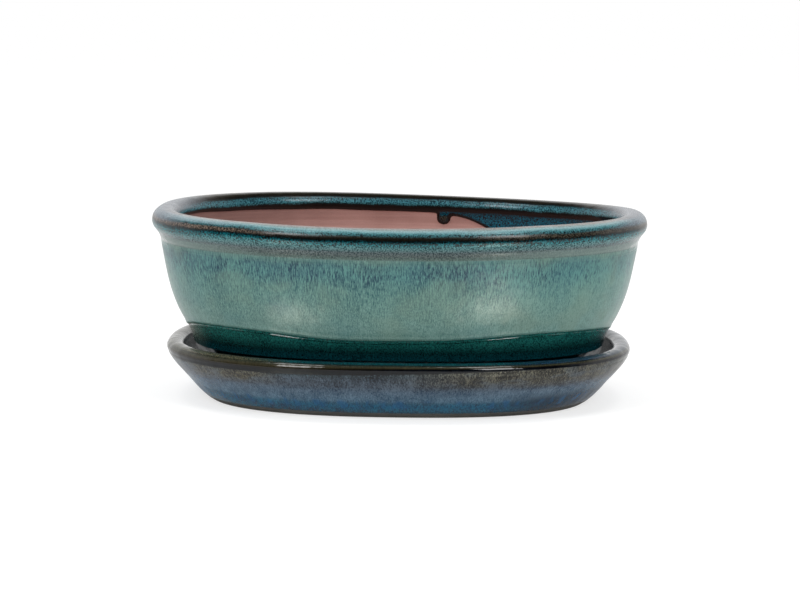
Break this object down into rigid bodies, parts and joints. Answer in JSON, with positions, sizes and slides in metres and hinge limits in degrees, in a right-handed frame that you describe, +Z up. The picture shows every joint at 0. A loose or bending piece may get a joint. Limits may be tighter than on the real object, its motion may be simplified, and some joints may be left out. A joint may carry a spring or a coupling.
{
  "type": "oval bonsai pot with saucer",
  "caption": "Oval glazed bonsai pot with a rolled lip, drainage holes and bracket feet, standing loose on its matching oval drip saucer.",
  "frame": {"origin": "middle of the saucer's underside, on the surface that it stands on", "axes": "+X along the oval to the right, +Y to the back, +Z up"},
  "size_m": [0.25, 0.196, 0.0964],
  "materials": {
    "pot_glaze": "glossy celadon glaze with fine blue streaks, breaking dark brown on edges; bare terracotta inside",
    "foot_glaze": "dark glossy green glaze with bare clay soles",
    "saucer_glaze": "glossy slate-blue glaze, olive brown along the lip, with a bare clay foot ring"
  },
  "bodies": {
    "saucer": {"saucer": "saucer_glaze"},
    "pot": {"pot_shell": "pot_glaze", "pot_foot_front_left": "foot_glaze", "pot_foot_front_right": "foot_glaze", "pot_foot_rear_left": "foot_glaze", "pot_foot_rear_right": "foot_glaze"}
  },
  "joints": [
    {"name": "pot_lift", "type": "slide", "parent": "saucer", "child": "pot", "axis": [0, 0, 1], "range_m": [0, 0.06]}
  ]
}
